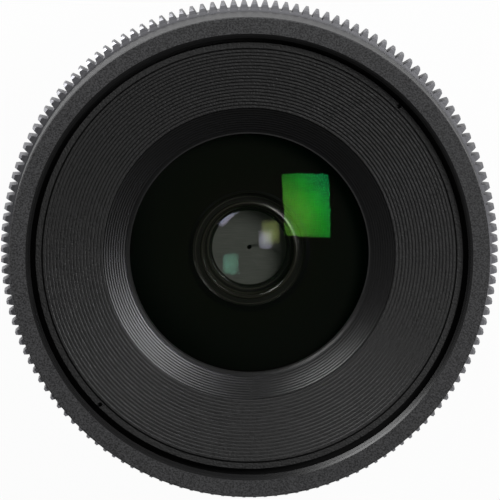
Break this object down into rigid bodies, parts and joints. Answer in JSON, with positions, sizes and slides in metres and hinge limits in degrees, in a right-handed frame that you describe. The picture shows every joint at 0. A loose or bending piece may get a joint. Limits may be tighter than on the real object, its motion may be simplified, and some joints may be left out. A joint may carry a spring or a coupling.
{
  "type": "cinema prime lens",
  "caption": "Cinema prime lens with geared focus and iris rings, ridged front baffle, bladed iris that opens, sliding focus group and a tabbed positive-lock camera mount.",
  "frame": {"origin": "centre of the mount's flange plane, where the spigot meets the flange", "axes": "+Z along the optical axis towards the subject, +Y up in the picture, +X to the right in the picture"},
  "size_m": [0.1184, 0.1184, 0.103],
  "materials": {
    "black_anodised": "bead-blasted, black anodised",
    "matte_black": "matte black anodised",
    "gear_anodised": "machined, grey anodised",
    "coated_glass": "polished and multi-coated",
    "stainless": "turned stainless steel",
    "brass": "turned brass",
    "screw_steel": "blackened steel",
    "blade_steel": "thin blackened spring steel"
  },
  "bodies": {
    "barrel": {"mount_ring": "stainless", "mount_shim": "brass", "mount_screws": "screw_steel", "rear_barrel": "black_anodised", "rear_baffle": "matte_black", "main_barrel": "black_anodised", "index_ring": "black_anodised", "index_screws": "screw_steel", "focus_stop_pin": "screw_steel", "front_ring": "black_anodised", "baffle_ring": "matte_black", "front_retainer": "matte_black", "front_cell": "matte_black", "front_element": "coated_glass", "second_element": "coated_glass", "second_retainer": "matte_black", "iris_stop_plate": "matte_black", "iris_housing": "matte_black", "iris_housing_screws": "screw_steel"},
    "focus_ring": {"focus_sleeve": "black_anodised", "focus_gear": "gear_anodised", "focus_scale_ring": "black_anodised", "focus_set_screws": "screw_steel"},
    "focus_group": {"focus_carrier": "matte_black", "guide_keys": "brass", "key_screws": "screw_steel", "doublet_front": "coated_glass", "doublet_rear": "coated_glass", "doublet_retainer": "matte_black", "fourth_element": "coated_glass", "rear_spacer": "matte_black", "rear_element": "coated_glass", "rear_retainer": "matte_black"},
    "iris_drive": {"iris_ring": "black_anodised", "iris_drive_pin": "screw_steel", "iris_drive_bar": "screw_steel", "iris_actuator": "brass"},
    "iris_blade_01": {"iris_blade_01": "blade_steel"},
    "iris_blade_02": {"iris_blade_02": "blade_steel"},
    "iris_blade_03": {"iris_blade_03": "blade_steel"},
    "iris_blade_04": {"iris_blade_04": "blade_steel"},
    "iris_blade_05": {"iris_blade_05": "blade_steel"},
    "iris_blade_06": {"iris_blade_06": "blade_steel"},
    "iris_blade_07": {"iris_blade_07": "blade_steel"},
    "iris_blade_08": {"iris_blade_08": "blade_steel"},
    "iris_blade_09": {"iris_blade_09": "blade_steel"},
    "iris_blade_10": {"iris_blade_10": "blade_steel"},
    "iris_blade_11": {"iris_blade_11": "blade_steel"}
  },
  "joints": [
    {"name": "focus_turn", "type": "hinge", "parent": "barrel", "child": "focus_ring", "pos_m": [0, 0, 0.054], "axis": [0, 0, 1], "range_deg": [0, 300]},
    {"name": "focus_slide", "type": "slide", "parent": "barrel", "child": "focus_group", "axis": [0, 0, 1], "range_m": [0, 0.0045]},
    {"name": "iris_turn", "type": "hinge", "parent": "barrel", "child": "iris_drive", "pos_m": [0, 0, 0.026], "axis": [0, 0, 1], "range_deg": [-38, 0]},
    {"name": "iris_blade_01_swing", "type": "hinge", "parent": "barrel", "child": "iris_blade_01", "pos_m": [0.022, 0, 0.0595], "axis": [0, 0, 1], "range_deg": [-22.41, 0]},
    {"name": "iris_blade_02_swing", "type": "hinge", "parent": "barrel", "child": "iris_blade_02", "pos_m": [0.01851, 0.01189, 0.0595], "axis": [0, 0, 1], "range_deg": [-22.41, 0]},
    {"name": "iris_blade_03_swing", "type": "hinge", "parent": "barrel", "child": "iris_blade_03", "pos_m": [0.00914, 0.02001, 0.0595], "axis": [0, 0, 1], "range_deg": [-22.41, 0]},
    {"name": "iris_blade_04_swing", "type": "hinge", "parent": "barrel", "child": "iris_blade_04", "pos_m": [-0.00313, 0.02178, 0.0595], "axis": [0, 0, 1], "range_deg": [-22.41, 0]},
    {"name": "iris_blade_05_swing", "type": "hinge", "parent": "barrel", "child": "iris_blade_05", "pos_m": [-0.01441, 0.01663, 0.0595], "axis": [0, 0, 1], "range_deg": [-22.41, 0]},
    {"name": "iris_blade_06_swing", "type": "hinge", "parent": "barrel", "child": "iris_blade_06", "pos_m": [-0.02111, 0.0062, 0.0595], "axis": [0, 0, 1], "range_deg": [-22.41, 0]},
    {"name": "iris_blade_07_swing", "type": "hinge", "parent": "barrel", "child": "iris_blade_07", "pos_m": [-0.02111, -0.0062, 0.0595], "axis": [0, 0, 1], "range_deg": [-22.41, 0]},
    {"name": "iris_blade_08_swing", "type": "hinge", "parent": "barrel", "child": "iris_blade_08", "pos_m": [-0.01441, -0.01663, 0.0595], "axis": [0, 0, 1], "range_deg": [-22.41, 0]},
    {"name": "iris_blade_09_swing", "type": "hinge", "parent": "barrel", "child": "iris_blade_09", "pos_m": [-0.00313, -0.02178, 0.0595], "axis": [0, 0, 1], "range_deg": [-22.41, 0]},
    {"name": "iris_blade_10_swing", "type": "hinge", "parent": "barrel", "child": "iris_blade_10", "pos_m": [0.00914, -0.02001, 0.0595], "axis": [0, 0, 1], "range_deg": [-22.41, 0]},
    {"name": "iris_blade_11_swing", "type": "hinge", "parent": "barrel", "child": "iris_blade_11", "pos_m": [0.01851, -0.01189, 0.0595], "axis": [0, 0, 1], "range_deg": [-22.41, 0]}
  ],
  "couplings": [
    {"joint": "focus_slide", "follows": "focus_turn", "m_per_rad": 0.000859},
    {"joint": "iris_blade_01_swing", "follows": "iris_turn", "ratio": 0.5897},
    {"joint": "iris_blade_02_swing", "follows": "iris_turn", "ratio": 0.5897},
    {"joint": "iris_blade_03_swing", "follows": "iris_turn", "ratio": 0.5897},
    {"joint": "iris_blade_04_swing", "follows": "iris_turn", "ratio": 0.5897},
    {"joint": "iris_blade_05_swing", "follows": "iris_turn", "ratio": 0.5897},
    {"joint": "iris_blade_06_swing", "follows": "iris_turn", "ratio": 0.5897},
    {"joint": "iris_blade_07_swing", "follows": "iris_turn", "ratio": 0.5897},
    {"joint": "iris_blade_08_swing", "follows": "iris_turn", "ratio": 0.5897},
    {"joint": "iris_blade_09_swing", "follows": "iris_turn", "ratio": 0.5897},
    {"joint": "iris_blade_10_swing", "follows": "iris_turn", "ratio": 0.5897},
    {"joint": "iris_blade_11_swing", "follows": "iris_turn", "ratio": 0.5897}
  ]
}
